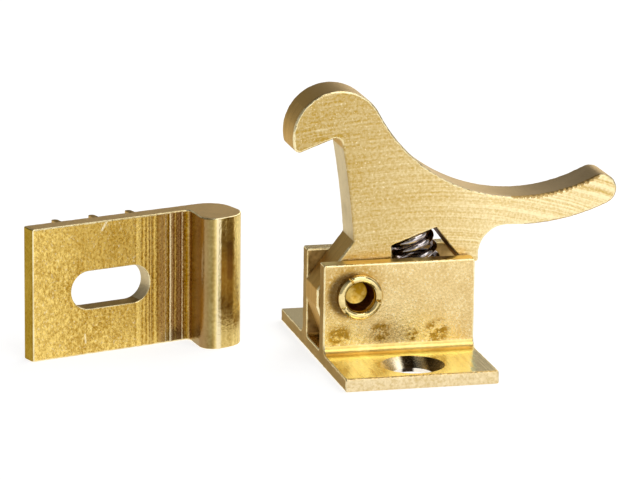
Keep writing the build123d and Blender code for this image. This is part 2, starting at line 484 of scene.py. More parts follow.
lever = {
    "thickness": 6.0, "pivot": (-5.3, 9.1), "restTilt": 20.5, "footTop": 1.7,
    "hook": (5.0, 19.9), "hookRadius": 6.0, "neckRadius": 22.0, "neckAngle": 7.5,
    "tailAngle": 5.5, "tailRadius": 2.0, "underRadius": 28.2, "underAngle": 3.1,
    "heelRadius": 3.8, "heelX": 20.4, "heelCut": 9.0, "throatX": 5.3, "shankBow": 0.22, "kink": (2.2, 6.3),
    "toeX": -5.3, "toeCorner": 0.05, "toeBevel": (0.8, 2.1), "stopGap": 0.05,
    "pocket": (6.6, 3.65), "pocketWidth": 6.24, "pocketWall": 2.0, "pocketSplay": 17.0,
    "noseRound": 0.8, "throatRound": 0.9, "toeRound": 0.5, "cornerRound": 0.4, "pocketRound": 0.2,
    "pivotHole": 2.55, "deburr": 0.27, "ragged": 0.5, "spacing": 0.45,
    "tornFrom": 23.5, "tornTo": 35.3, "tornBand": (-0.2, 5.5), "toothPitch": 0.62, "toothDepth": 0.34,
    "shankSpan": (14.8, 28.5), "shankFront": -10.5,
}
sawCentre = (2.5, -50.0)
brassSawn = metalFinish(
    "brassSawn", light=(1.0, 0.84, 0.49), dark=(0.58, 0.36, 0.06), tone=0.37, roughness=0.34,
    grain=(0.34, 0.42, 0.08), cloud=(5.0, 0.12), bump=0.2,
    lines=[
        {"path": ringsAbout(sawCentre, 0.6), "where": between((1, 0, 0), 6, 25, 0.12, 1.0),
         "pitch": 0.62, "share": 0.6, "height": 0.10},
        {"path": ringsAbout(sawCentre, 0.2), "where": between((1, 0, 0), -8, 12, 0.5, 1.0),
         "pitch": 0.28, "share": 0.34, "height": 0.04},
        {"path": barsAlong((-0.12, 0, 0.99), 0.5),      # brushed on the hook
         "where": across(softSpot((-8.5, -3, 31.0), 6.0, 1.0), patches(3.0)),
         "pitch": 0.55, "share": 0.8, "height": 0.06},
    ],
    # painted light and shade: lighter toward the tail, darker on the hook
    sweeps=[between((1, 0, 0), -3, 18, 0.0, 0.34), between((0.87, 0, -0.5), -26, -10, -0.12, 0.0)],
    shade=between((0.87, 0, -0.5), -24, 6, 0.80, 1.0),
    marks=[(cream, specks(0.3, 0.5))],
)
hookSkin = (0.52, 0.345, 0.13)
brassRubbed = metalFinish(
    "brassRubbed", light=(0.66, 0.53, 0.35), dark=(0.36, 0.27, 0.16), tone=0.5, roughness=0.45,
    rimTint=(0.88, 0.73, 0.49), cloud=(4.0, 0.2),
    marks=[(hookSkin, between((0.937, 0, 0.35), 0.5, 9.0, 1.0, 0.0))],
)


def bowedRun(start, end, bow, steps=24):
    # points between two ends on a slightly bowed line
    start, end = Vector(start), Vector(end)
    out = Vector((end.y - start.y, start.x - end.x)).normalized() * bow
    shares = [k / steps for k in range(1, steps)]
    return [(*(start.lerp(end, share) + out * (4 * share * (1 - share))), 0) for share in shares]


def leverOutline(s):
    neck = onCircle(s["hook"], s["hookRadius"] + s["neckRadius"], s["neckAngle"])
    tail = onCircle(neck, s["neckRadius"] + s["tailRadius"], s["tailAngle"] - 90)
    under = onCircle(tail, s["underRadius"] - s["tailRadius"], s["underAngle"] + 90)
    drop = sqrt((s["underRadius"] + s["heelRadius"]) ** 2 - (under[0] - s["heelX"]) ** 2)
    heel = (s["heelX"], under[1] - drop)
    heelAngle = degrees(atan2(-drop, s["heelX"] - under[0]))
    tilt = radians(s["restTilt"])
    stop = s["pivot"][1] - s["footTop"] - s["stopGap"] - s["toeRound"]
    toeDepth = (stop - (-s["toeX"] - s["toeRound"]) * sin(tilt)) / cos(tilt) + s["toeRound"]
    px, pz = s["pocket"]
    wallEnd = (px - s["pocketWall"] * tan(radians(s["pocketSplay"])), pz - s["pocketWall"])
    lobeAngle = degrees(atan2(wallEnd[1], wallEnd[0]) - acos(toeDepth / hypot(*wallEnd)))
    heelTip = onCircle(heel, s["heelRadius"], 180 - s["heelCut"])
    splay = (pz - heelTip[1]) * tan(radians(s["pocketSplay"]))
    throat = (s["throatX"], s["hook"][1])
    neckTurn = 90 + s["tailAngle"] - s["neckAngle"]
    tailTurn = 180 + s["tailAngle"] - s["underAngle"]
    underTurn = heelAngle - s["underAngle"] + 90
    corner = s["cornerRound"]
    points = arcRun(s["hook"], s["hookRadius"], s["neckAngle"], 180 - s["neckAngle"], 48)[:-1]
    points = [(s["hook"][0] - s["hookRadius"], s["hook"][1], s["noseRound"])] + points[::-1]
    points += arcRun(neck, s["neckRadius"], 180 + s["neckAngle"], neckTurn, 220)[1:]
    points += arcRun(tail, s["tailRadius"], s["underAngle"] - 90 + tailTurn, -tailTurn, 24)[1:]
    points += arcRun(under, s["underRadius"], s["underAngle"] - 90, underTurn, 40)[1:]
    points += arcRun(heel, s["heelRadius"], heelAngle + 180, -heelAngle - s["heelCut"], 16)[1:-1]
    points += [
        (*heelTip, corner),
        (px + s["pocketWidth"] + splay, heelTip[1], corner),
        (px + s["pocketWidth"], pz, s["pocketRound"]),
        (px, pz, s["pocketRound"]),
        (*wallEnd, corner),
    ]
    points += arcRun((0, 0), toeDepth, lobeAngle, -90 - lobeAngle, 30)
    points += [
        (s["toeX"], -toeDepth, s["toeRound"]),
        (s["toeX"], s["toeCorner"], corner),
        (s["toeX"] + s["toeBevel"][0], s["toeCorner"] + s["toeBevel"][1], corner),
        (*s["kink"], corner),
    ]
    points += bowedRun(s["kink"], throat, s["shankBow"]) + [(*throat, s["throatRound"])]
    return softOutline(points, s["spacing"])


def leverPlace(x, z, y):
    (px, pz), tilt = lever["pivot"], radians(lever["restTilt"])
    return Vector((px + x * cos(tilt) - z * sin(tilt), y, pz + x * sin(tilt) + z * cos(tilt))) * mm


def leverLocal(p):
    tilt = radians(lever["restTilt"])
    x, z = p.x - lever["pivot"][0], p.z - lever["pivot"][1]
    return x * cos(tilt) + z * sin(tilt), z * cos(tilt) - x * sin(tilt)


def onTailTop(x, z):
    low, high = lever["tornBand"]
    return lever["tornFrom"] < x < lever["tornTo"] and low < z < high


def tailTeeth(p):
    # the saw tore the tail's top edge into small teeth
    if not onTailTop(p.x, p.y):
        return 0.0
    uneven = 0.65 + 0.7 * noise.noise(Vector((p.x * 0.9, 4.0, 1.0)))
    swell = min(1.0, (p.x - lever["tornFrom"]) / 3.0) * uneven
    beat = p.x / lever["toothPitch"] + 0.5 * noise.noise(Vector((p.x * 0.8, 0.0, 2.0)))
    return lever["toothDepth"] * max(0.0, swell) * (1 - beat % 1.0)


def rubbedTop(p, n):
    return n.z > 0.3 and abs(n.y) < 0.65 and leverLocal(p)[0] > lever["kink"][0]


def onShank(p, margin):
    low, high = lever["shankSpan"]
    return low < p.z < high - margin and p.x > lever["shankFront"] + margin


def shankEdge(p, n):
    return n.x < -0.1 and 0.05 < abs(n.y) < 0.99 and onShank(p, 0.0)


def shankSide(p, n):
    return n.x < -0.9 and abs(p.y) < lever["thickness"] / 2 - 0.3 and onShank(p, 0.5)


def tailEdge(p, n):
    return 0.05 < abs(n.y) < 0.95 and n.z < 0.2 and leverLocal(p)[0] > lever["tornFrom"] + 0.5


def tornEdge(p, n):
    return p.y < -2 and abs(n.y) < 0.98 and onTailTop(*leverLocal(p))


def pocketInside(p, n):
    drop, radius = 2.2, 5.0     # of a circle that takes in the whole pocket
    eye = leverPlace(lever["pocket"][0] + lever["pocketWidth"] / 2, lever["pocket"][1] - drop, 0) / mm
    near = hypot(p.x - eye.x, p.z - eye.z) < radius
    return near and abs(n.y) < 0.2 and abs(p.y) < lever["thickness"] / 2 - 0.1


pivotHole = [Vector(onCircle((0, 0), lever["pivotHole"], -360 * k / 64)) for k in range(64)]
leverBody = sectionSlice(
    "leverBody", leverOutline(lever), -lever["thickness"] / 2, lever["thickness"] / 2, lever, leverPlace,
    (brassSawn, brassSkinShaded, brassEdge), [pivotHole], teeth=tailTeeth,
)
refinish(
    leverBody, (brassRubbed, rubbedTop), (brassSawn, shankEdge), (brassSkinShaded, tailEdge),
    (brassSkinShaded, tornEdge), (brassPaleSkin, shankSide), (brassBore, pocketInside),
)
smoothOff(leverBody)
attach(leverBody, "lever")
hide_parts("lever")
print("lever:", len(leverBody.data.polygons), "faces")


# base, a slice of channel section along X

base = {
    "length": 20.0, "width": 35.0, "foot": lever["footTop"], "cheekHeight": 11.65, "cheekThickness": 2.2,
    "channel": 6.8, "cove": 1.2, "channelCorner": 0.5, "footRound": 0.35, "soleRound": 0.12,
    "cheekRound": 0.28, "holeSpacing": 25.0, "screwHole": 2.6, "countersink": 4.05,
    "countersinkAngle": 100.0, "lipRound": 0.14, "rivetHole": 2.52, "rivetHoleReach": 9.0,
    "deburr": 0.2, "ragged": 0.5, "spacing": 0.6,
}
cheekInside = base["channel"] / 2
cheekOutside = cheekInside + base["cheekThickness"]
cheekTop = base["foot"] + base["cheekHeight"]
coveEnd = cheekOutside + base["cove"]

# on the near cheek: painted shadow and reflection of the rivet's rim, a dark crescent with a golden halo
# left of the rivet; and stains low down
rivetShadow = softSpot((-6.45, -5.6, 9.35), 3.4, 0.85, 0.74)
rivetShadowHalo = softSpot((-6.2, -5.6, 9.7), 5.0, 1.0, 0.55)
lowSpots = total(
    softSpot((-7.9, -5.6, 4.0), 2.0, 1.0), softSpot((-2.4, -5.6, 4.2), 1.8, 1.0),
    softSpot((1.7, -5.6, 3.7), 1.2, 1.0), softSpot((5.0, -5.6, 3.9), 2.2, 1.0),
)
lowStains = across(lowSpots, patches(0.9, (0.6, 1.0, 1.4), 0.52))
brassDrawn = metalFinish(
    "brassDrawn", light=(1.0, 0.82, 0.44), dark=(0.46, 0.25, 0.03), tone=0.54, roughness=0.22,
    dullShare=0.14, grain=(0.3, 0.28, 0.10), cloud=(4.0, 0.14), bump=0.2,
    sweeps=[
        between((0, 0, 1), 2.6, 7.5, -0.10, 0.0),
        # golden halo round the rivet's painted shadow
        total(rivetShadowHalo, share=-0.34),
        total(lowStains, share=-0.7),
    ],
    shade=total(lowStains, share=-0.36, start=1.0),
    # bistre lays the rivet's painted shadow and reflection on the cheek
    marks=[(cream, specks(0.3, 0.3)), (bistre, rivetShadow)],
)
# painted light: the flange top brighter and yellower than the brass, for the cheek's reflected light; buff
# paints the plainer reflection beyond the cheek's end and on the far flange
brassFlangeLit = metalFinish(
    "brassFlangeLit", light=(1.0, 1.0, 0.60), dark=(0.76, 0.44, 0.05), tone=1.0, roughness=0.17,
    dullShare=0.08, grain=(0.4, 0.2, 0.03), cloud=(3.0, 0.3),
    lines=[{"path": barsAlong((1, 0, 0), 0.2), "pitch": 0.5, "share": 0.42, "height": 0.05}],
    marks=[
        (buff, between((1, -0.25, 0), 10.9, 11.7, 0.0, 0.8)),   # beyond the cheek's reflection
        (buff, between((0, 1, 0), 3, 4, 0.0, 0.8)),             # the far flange
    ],
)
brassCove = metalFinish(
    "brassCove", light=(0.97, 0.76, 0.29), dark=(0.62, 0.36, 0.04), tone=0.7, roughness=0.34,
    grain=(0.5, 0.3, 0.06), cloud=(3.0, 0.3),
)
brassPale = metalFinish(
    "brassPale", light=(1.0, 0.85, 0.56), dark=(0.58, 0.40, 0.13), tone=0.50, roughness=0.4,
    grain=(0.36, 0.5, 0.12), cloud=(3.0, 0.15), bump=0.2,
)
# painted shade: the channel's inner faces darker, where the lever and the cheeks shade them
brassInsideShaded = metalFinish(
    "brassInsideShaded", light=(0.86, 0.61, 0.25), dark=(0.30, 0.18, 0.05), tone=0.42, roughness=0.45,
    rimTint=(0.6, 0.45, 0.25), grain=(0.5, 0.2, 0.05), cloud=(2.0, 0.5), bump=0.1,
)
turnedLook = {"dullShare": 0.06, "grain": (0.25, 0.10, 0.03), "cloud": (2.0, 0.1), "bump": 0.1}
brassTurnedReflections = metalFinish(
    "brassTurnedReflections", light=(1.0, 0.88, 0.64), dark=(0.07, 0.04, 0.015), tone=1.05, roughness=0.26,
    # painted reflection: bright, dark, light and dark bands across the countersink's cone from left to right
    sweeps=[
        between((1, 0, 0), -1.0, -0.2, 0.0, -1.05), between((1, 0, 0), 0.8, 1.5, 0.0, 0.85),
        between((1, 0, 0), 1.9, 2.7, 0.0, -0.8),
    ], **turnedLook,
)
brassHoleShaded = metalFinish(
    "brassHoleShaded", light=(1.0, 0.93, 0.80), dark=(0.03, 0.018, 0.01), tone=0.95, roughness=0.2,
    # painted shadow in the middle of the screw hole's wall, with painted light on both sides
    sweeps=[between((1, 0, 0), -0.9, -0.5, 0.0, -0.95), between((1, 0, 0), 0.6, 1.0, 0.0, 0.95)],
    **turnedLook,
)


def baseOutline(s):
    half = [
        (s["width"] / 2, 0, s["soleRound"]), (s["width"] / 2, s["foot"], s["footRound"]),
        (cheekOutside, s["foot"], s["cove"]), (cheekOutside, cheekTop, s["cheekRound"]),
        (cheekInside, cheekTop, s["cheekRound"]), (cheekInside, s["foot"], s["channelCorner"]),
    ]
    return softOutline(half + [(-x, z, r) for x, z, r in half[::-1]], s["spacing"])


def countersinkCutter(s, y):
    # screw hole, cone and a slightly rolled lip
    rise = (s["countersink"] - s["screwHole"]) / tan(radians(s["countersinkAngle"] / 2))
    axes = Vector((1, 0, 0)), Vector((0, 1, 0)), Vector((0, 0, 1))
    lip = s["countersink"] + s["lipRound"]
    steps = [(s["screwHole"], -1.0), (s["screwHole"], s["foot"] - rise)]
    steps += [(s["countersink"] - 0.06, s["foot"] - 0.05), (s["countersink"] + 0.02, s["foot"] - 0.01)]
    steps += [(lip, s["foot"] + 0.03), (lip, s["foot"] + 1)]
    rings = [ringAt(Vector((0, y, 0)), radius, *axes, z) for radius, z in steps]
    return stackedRings("countersink", rings, brassTurnedReflections, brassHoleShaded, bands=[1, 0, 0, 0, 0])


def rivetHoleCutter(s):
    centre = Vector((lever["pivot"][0], 0, lever["pivot"][1]))
    axes = Vector((1, 0, 0)), Vector((0, 0, 1)), Vector((0, 1, 0))
    rings = [ringAt(centre, s["rivetHole"], *axes, side * s["rivetHoleReach"]) for side in (-1, 1)]
    return stackedRings("rivetHole", rings, brassTurnedReflections)


def clearOfEnds(p):
    return abs(p.x) < base["length"] / 2 - 0.05


def flangeSide(p, n):
    return abs(p.y) > base["width"] / 2 - 0.1


def flangeTop(p, n):
    return n.z > 0.95 and coveEnd - 0.1 < abs(p.y) < base["width"] / 2 - 0.5 and p.z > base["foot"] - 0.1


def coveFace(p, n):
    low = base["foot"] - 0.1 < p.z < base["foot"] + base["cove"] + 0.1
    return low and cheekOutside + 0.02 < abs(p.y) < coveEnd and abs(n.x) < 0.2 and clearOfEnds(p)


def nearCheekTop(p, n):
    return n.z > 0.9 and p.z > cheekTop - 0.35 and p.y < 0 and clearOfEnds(p)


def channelInside(p, n):
    return abs(n.y) > 0.9 and abs(p.y) < cheekInside + 0.1 and p.z > base["foot"] + 0.3 and clearOfEnds(p)


def cheekTopEdge(p, n):
    return p.z > cheekTop - 0.35 and 0.2 < -n.y < 0.95 and clearOfEnds(p)


baseChannel = sectionSlice(
    "baseChannel", baseOutline(base), -base["length"] / 2, base["length"] / 2, base,
    lambda y, z, x: Vector((x, y, z)) * mm, (brassSawnEndShaded, brassDrawn, brassEdge), steps=3,
)
cutAway(
    baseChannel, countersinkCutter(base, -base["holeSpacing"] / 2),
    countersinkCutter(base, base["holeSpacing"] / 2), rivetHoleCutter(base),
)
refinish(
    baseChannel, (brassPale, flangeSide), (brassFlangeLit, flangeTop), (brassCove, coveFace),
    (brassCove, nearCheekTop), (brassInsideShaded, channelInside), (brassEdge, cheekTopEdge),
)
smoothOff(baseChannel)
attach(baseChannel, "base")
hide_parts("base")
print("base:", len(baseChannel.data.polygons), "faces")


# rivet, turned about the pivot, with a rolled rim that has split in a few places

rivet = {
    "radius": 2.5, "headRadius": 3.5, "headHeight": 1.1, "headRound": 0.6, "boreRadius": 1.95,
    "rimWall": 1.0, "rimHeight": 0.95, "boreDepth": 3.1, "boreFloor": 1.5, "floorDish": 0.25,
    "segments": 180,
    "splits": [(118.0, 3.4, 0.22), (-12.0, 4.2, 0.3), (-150.0, 2.6, 0.1)],   # angle, half width, depth
}
brassRivet = metalFinish(
    "brassRivet", light=(1.0, 0.82, 0.40), dark=(0.40, 0.24, 0.05), tone=0.66, roughness=0.12,
    dullShare=0.06, grain=(0.5, 0.2, 0.06), cloud=(1.5, 0.4),
)
brassBoreFloor = metalFinish(
    "brassBoreFloor", light=(1.0, 0.72, 0.20), dark=(0.42, 0.22, 0.01), tone=0.44, roughness=0.36,
    # painted light and shade: the bore's floor lighter toward the lower left, darker toward the upper right
    grain=(0.6, 0.4, 0.06), cloud=(1.2, 0.5), sweeps=[between((0.8, 0, 0.6), 0.3, 2.0, 0.1, -0.45)],
)


def rivetProfile(s):
    # (distance towards the front, radius) from the bore's floor round the rim to the back head
    tip = 0.02      # radius of the small discs that close both ends
    rimTop = cheekOutside + s["rimHeight"]
    floor = rimTop - s["boreDepth"]
    rimHalf = s["rimWall"] / 2
    rimMiddle = (rimTop - rimHalf, s["boreRadius"] + rimHalf)
    profile = [(floor - s["floorDish"], tip), (floor - s["floorDish"] + 0.03, 0.5)]
    profile += [(floor - 0.1, s["boreFloor"] - 0.3), (floor, s["boreFloor"])]
    for k in range(1, 6):
        widening = (s["boreRadius"] - s["boreFloor"]) * sin(pi * k / 12)
        profile.append((floor + (rimMiddle[0] - floor) * k / 6, s["boreFloor"] + widening))
    for k in range(15):
        angle = radians(-90 + 180 * k / 14)
        profile.append((rimMiddle[0] + rimHalf * cos(angle), rimMiddle[1] + rimHalf * sin(angle)))
    profile += [(cheekOutside + 0.06, rimMiddle[1] + rimHalf - 0.02), (cheekOutside, rimMiddle[1] + 0.4)]
    profile += [(cheekOutside, s["radius"]), (-cheekOutside, s["radius"])]
    profile += [(-cheekOutside, s["headRadius"] - 0.05)]
    headEnd = -cheekOutside - s["headHeight"]
    corner = (headEnd + s["headRound"], s["headRadius"] - s["headRound"])
    for k in range(9):
        angle = radians(90 + 90 * k / 8)
        profile.append((corner[0] + s["headRound"] * cos(angle), corner[1] + s["headRound"] * sin(angle)))
    return profile + [(headEnd, tip)]


def splitDepth(s, angle):
    depth = 0.0
    for place, width, size in s["splits"]:
        off = abs((angle - place + 180) % 360 - 180)
        depth += size * max(0.0, 1 - off / width)
    return depth


def rivetRings(s):
    rings = []
    px, pz = lever["pivot"]
    for front, radius in rivetProfile(s):
        rolled = 0.0
        if radius > s["boreRadius"] + 0.1:
            rolled = max(0.0, min(1.0, (front - cheekOutside) / s["rimHeight"]))
        ring = []
        for k in range(s["segments"]):
            angle = 360 * k / s["segments"]
            cosine, sine, depth = cos(radians(angle)), sin(radians(angle)), splitDepth(s, angle)
            wave = 0.03 * noise.noise(Vector((cosine * 1.7, sine * 1.7, 3.0)))
            reach = radius + rolled * (wave - depth * 0.5)
            ring.append(Vector((px + reach * cosine, rolled * depth - front, pz + reach * sine)) * mm)
        rings.append(ring)
    return rings


rivetBands = [1] * 3 + [2] * 5      # the bore's floor, then its wall; the rest is bare rivet
rivetBands += [0] * (len(rivetProfile(rivet)) - 1 - len(rivetBands))
pivotRivet = stackedRings(
    "pivotRivet", rivetRings(rivet), brassRivet, brassBoreFloor, brassBore, bands=rivetBands
)
smoothOff(pivotRivet, 40)
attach(pivotRivet, "base")
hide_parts("pivot_rivet")
print("rivet:", len(pivotRivet.data.polygons), "faces")


# strike, a slice of section standing on its sawn end; u runs along its plate, v towards its back

strike = {
    "at": (-46.0, 3.8), "yaw": 17.4, "height": 17.5, "thickness": 2.5, "innerLength": 23.0,
    "lipWidth": 5.8, "lipRise": 6.4, "lipUndercut": 10.0, "lipSlope": 8.0, "lipBackRound": 3.2,
    "lipOuterRound": 3.4, "lipInnerRound": 1.9, "lipCove": 0.6, "endRound": 0.45,
    "slot": (11.4, 5.0), "slotMiddle": 11.4, "slotRise": 8.55, "slotSoft": 0.12,
    "deburr": 0.18, "ragged": 0.5, "spacing": 0.5,
}
strikeX, strikeY = strike["at"]
strikeYaw = radians(strike["yaw"])
alongStrike = Vector((cos(strikeYaw), sin(strikeYaw), 0.0))
acrossStrike = Vector((-sin(strikeYaw), cos(strikeYaw), 0.0))
strikeStart = strikeX * cos(strikeYaw) + strikeY * sin(strikeYaw)
strikeFront = strikeY * cos(strikeYaw) - strikeX * sin(strikeYaw)


def onStrike(u, z, v=0.0):
    x = strikeX + u * cos(strikeYaw) - v * sin(strikeYaw)
    return (x, strikeY + u * sin(strikeYaw) + v * cos(strikeYaw), z)


def strikePlace(u, v, z):
    return Vector(onStrike(u, z, v)) * mm


def strikeLocal(p):
    return p.dot(alongStrike) - strikeStart, p.dot(acrossStrike) - strikeFront


def uRun(start, end, low, high):
    return between(alongStrike, strikeStart + start, strikeStart + end, low, high)


def vRun(start, end, low, high):
    return between(acrossStrike, strikeFront + start, strikeFront + end, low, high)


plateOnly = vRun(-3.2, -1.2, 0.12, 1.0)
plateFront = vRun(0.3, 1.5, 1.0, 0.0)
# the scored zone of the plate front, where the score lines carry painted reflections
scoresAndReflections = across(uRun(15.6, 20.5, 0.0, 1.0), plateFront)
slanting = alongStrike * 0.8 + Vector((0.0, 0.0, 0.6))
lowerLeft = between(slanting, 0.8 * strikeStart + 9, 0.8 * strikeStart + 17, 1.0, 0.15)
streaks = barsAlong(alongStrike, 0.05)
# the strike's sawn top, painted lighter than the other sawn ends, as lit
brassSawnTopLit = metalFinish(
    "brassSawnTopLit", light=(1.0, 0.74, 0.38), dark=(0.40, 0.26, 0.10), tone=0.52, roughness=0.45,
    rimTint=(0.98, 0.84, 0.62), grain=(0.3, 0.18, 0.06), cloud=(3.0, 0.1),
)
brassStrike = metalFinish(
    "brassStrike", light=(1.0, 0.73, 0.21), dark=(0.38, 0.185, 0.0), tone=0.41, roughness=0.3,
    dullShare=0.14, grain=(0.34, 0.44, 0.14), cloud=(5.0, 0.16), bump=0.2,
    lines=[
        {"path": barsAlong(alongStrike, 0.10), "where": across(uRun(14.2, 16.4, 0.04, 1.0), plateOnly),
         "pitch": 0.5, "share": 0.8, "height": 0.3},
    ],
    sweeps=[
        uRun(0.0, 9.0, 0.26, 0.0),
        between((0, 0, 1), 0.0, 8.0, 0.16, 0.0),
        bar(alongStrike, strikeStart + 15.5, 0.6, 0.25),
        across(total(patches(0.4, (1.0, 1.0, 0.6)), share=0.56, start=-0.2), lowerLeft),
        # painted dark reflection: the plate front darker toward the lip
        across(uRun(16.0, 18.5, 0.0, -0.12), plateFront),
    ],
    # painted dark reflection, dimming the plate front toward the lip
    shade=across(uRun(16.0, 21.5, 0.0, -0.16), plateFront, 1.0),
    marks=[
        # the score lines are real; their umber and cream columns are painted dark reflections and painted
        # highlights
        (umber, across(columns(streaks, 0.9, 0.40, 0.56, 0.8), scoresAndReflections)),
        (bistre, softSpot(onStrike(20.8, 0.3), 2.4, 0.75)),
        (cream, across(columns(streaks, 0.6, 0.60, 0.68, 0.6), scoresAndReflections)),
        (cream, straightMark(onStrike(10.9, 17.5), onStrike(10.1, 16.3), 0.22, 0.8)),
        (cream, straightMark(onStrike(7.7, 1.6), onStrike(7.6, 2.7), 0.18, 0.6)),
        (cream, across(specks(0.3, 0.35), uRun(14.5, 17.0, 1.0, 0.2))),
    ],
)
brassLip = metalFinish(
    "brassLip", light=(1.0, 0.80, 0.32), dark=(0.34, 0.18, 0.01), tone=0.55, roughness=0.2,
    grain=(0.4, 0.3, 0.06), cloud=(4.0, 0.2), bump=0.2,
    lines=[{"path": barsAlong(alongStrike, 0.2), "pitch": 1.1, "share": 0.3, "height": 0.1}],
    # painted shade: the lip darker left of its bright streak
    shade=uRun(23.0, 23.7, 0.46, 1.0),
    marks=[
        # painted shade in the cove before the lip
        (umber, uRun(22.3, 23.1, 0.6, 0.0)),
        # painted dark reflection: a dark streak down the lip
        (umber, straightMark(onStrike(25.7, 13.8, -6), onStrike(25.8, 9.6, -6), 0.8, 0.7)),
        # painted highlight: the bright streak down the lip
        (cream, bar(alongStrike, strikeStart + 24.0, 0.5, 0.75)),
    ],
)
brassStrikeEnd = metalFinish(
    "brassStrikeEnd", light=(0.72, 0.51, 0.10), dark=(0.28, 0.16, 0.01), tone=0.24, roughness=0.36,
    rimTint=(0.98, 0.84, 0.5), grain=(0.34, 0.35, 0.12), cloud=(4.0, 0.2), bump=0.2,
)


def strikeOutline(s):
    tipX = s["innerLength"] - s["lipRise"] * tan(radians(s["lipUndercut"]))
    length = s["innerLength"] + s["lipWidth"]
    outerY = (length - tipX) * tan(radians(s["lipSlope"])) - s["lipRise"]
    return softOutline([
        (0, 0, s["endRound"]), (s["innerLength"], 0, s["lipCove"]),
        (tipX, -s["lipRise"], s["lipInnerRound"]), (length, outerY, s["lipOuterRound"]),
        (length, s["thickness"], s["lipBackRound"]), (0, s["thickness"], s["endRound"]),
    ], s["spacing"], 12)


def slotRing(grow, v, count=28):
    length, width = strike["slot"]
    radius, reach = width / 2 + grow, (length - width) / 2
    ring = []
    for end, first in ((1, -90), (-1, 90)):
        for k in range(count + 1):
            angle = radians(first + 180 * k / count)
            u = strike["slotMiddle"] + end * reach + radius * cos(angle)
            ring.append(strikePlace(u, v, strike["slotRise"] + radius * sin(angle)))
    return ring


def slotCutter():
    soft, thick = strike["slotSoft"], strike["thickness"]
    levels = [(soft * 1.2, -1.0), (soft * 1.2, -0.02), (soft * 0.45, soft * 0.35), (0.0, soft * 1.2)]
    levels += [(0.0, thick - soft), (soft * 0.9, thick), (soft * 0.9, thick + 1.0)]
    rings = [slotRing(grow, v) for grow, v in levels]
    return stackedRings("slot", rings, brassSawnEndShaded, brassEdge, bands=[1, 1, 1, 0, 0, 0])


def facing(n):
    # how squarely a face looks towards the strike's end and its front
    return -n.dot(alongStrike), -n.dot(acrossStrike)


def lipFace(p, n):
    return abs(n.z) < 0.3 and strikeLocal(p)[1] < -1.3


def strikeEnd(p, n):
    return facing(n)[0] > 0.66 and strikeLocal(p)[0] < 1


def slotFarWall(p, n):
    endward, frontward = facing(n)
    inSlot = strike["slotMiddle"] + 2 < strikeLocal(p)[0] < strike["slotMiddle"] + strike["slot"][0] / 2 + 1
    return inSlot and endward > 0.4 and abs(n.z) < 0.9 and abs(frontward) < 0.2


def strikeEndEdge(p, n):
    endward, frontward = facing(n)
    return 0.36 < endward < 0.66 and frontward > 0.3 and strikeLocal(p)[0] < 1


strikeBody = sectionSlice(
    "strikeBody", strikeOutline(strike), 0.0, strike["height"], strike, strikePlace,
    (brassSawnTopLit, brassStrike, brassEdge), steps=3,
)
cutAway(strikeBody, slotCutter())
refinish(
    strikeBody, (brassLip, lipFace), (brassStrikeEnd, strikeEnd), (brassPaleSkin, slotFarWall),
    (brassEdge, strikeEndEdge),
)
smoothOff(strikeBody)
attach(strikeBody, "base")
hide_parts("strike_plate")
print("strike:", len(strikeBody.data.polygons), "faces")


# geometry node trees for what repeats and what follows a path

class Tree:
    def __init__(self, name, **sizes):
        self.group = bpy.data.node_groups.new(name, "GeometryNodeTree")
        face = self.group.interface
        face.new_socket("Geometry", in_out="INPUT", socket_type="NodeSocketGeometry")
        face.new_socket("Geometry", in_out="OUTPUT", socket_type="NodeSocketGeometry")
        self.keys = {}
        for size, value in sizes.items():
            kind = "NodeSocketInt" if isinstance(value, int) else "NodeSocketFloat"
            self.keys[size] = face.new_socket(size, in_out="INPUT", socket_type=kind).identifier
        self.start = self.group.nodes.new("NodeGroupInput")
        self.sizes = sizes

    def size(self, name):
        return self.start.outputs[name]

    def node(self, kind, inputs=None, output=0, **settings):
        made = self.group.nodes.new(kind)
        for key, value in settings.items():
            setattr(made, key, value)
        for key, value in (inputs or {}).items():
            plug(self.group, value, made.inputs[key])
        return made.outputs[output]

    def math(self, kind, *values):
        return addMath(self.group, kind, *values)

    def point(self, **parts):
        return self.node("ShaderNodeCombineXYZ", parts)

    def around(self, radius, angle):
        return [self.math("MULTIPLY", radius, self.math(kind, angle)) for kind in ("COSINE", "SINE")]

    def spot(self):
        here = self.node("GeometryNodeInputPosition")
        return self.node("ShaderNodeSeparateXYZ", {0: here}).node.outputs

    def finish(self, geometry, mat):
        whole = self.node("GeometryNodeRealizeInstances", {"Geometry": geometry})
        done = self.node("GeometryNodeSetMaterial", {"Geometry": whole, "Material": mat})
        end = self.group.nodes.new("NodeGroupOutput")
        self.group.links.new(done, end.inputs["Geometry"])

    def build(self, name):
        obj = bpy.data.objects.new(name, bpy.data.meshes.new(name))
        scene.collection.objects.link(obj)
        modifier = obj.modifiers.new("tree", "NODES")
        modifier.node_group = self.group
        for size, value in self.sizes.items():
            modifier[self.keys[size]] = value
        bakeModifiers(obj)
        return obj


# spring: a straight coil with ground ends, then bent from the foot to the tilted pocket

coil = {
    "diameter": 6.12, "wire": 0.92, "activeTurns": 8.0, "endTurns": 1.0, "grind": 0.22,
    "pointsPerTurn": 40, "wireSides": 14,
}
springSteel = metalFinish(
    "springSteel", light=(0.90, 0.82, 0.81), dark=(0.10, 0.085, 0.08), tone=0.45, roughness=0.1,
    dullShare=0.06, rimTint=(0.9, 0.84, 0.83), grain=(0.5, 0.2, 0.03), cloud=(1.2, 0.6), bump=0.1,
)
bend = radians(lever["restTilt"])
pocketMiddle = leverPlace(lever["pocket"][0] + lever["pocketWidth"] / 2, lever["pocket"][1], 0)
bendRadius = (pocketMiddle.z / mm - base["foot"]) / sin(bend)
bendCentre = pocketMiddle.x / mm - bendRadius * cos(bend)
springLength = bendRadius * bend
turns = coil["activeTurns"] + 2 * coil["endTurns"]
inset = coil["wire"] / 2 - coil["grind"]

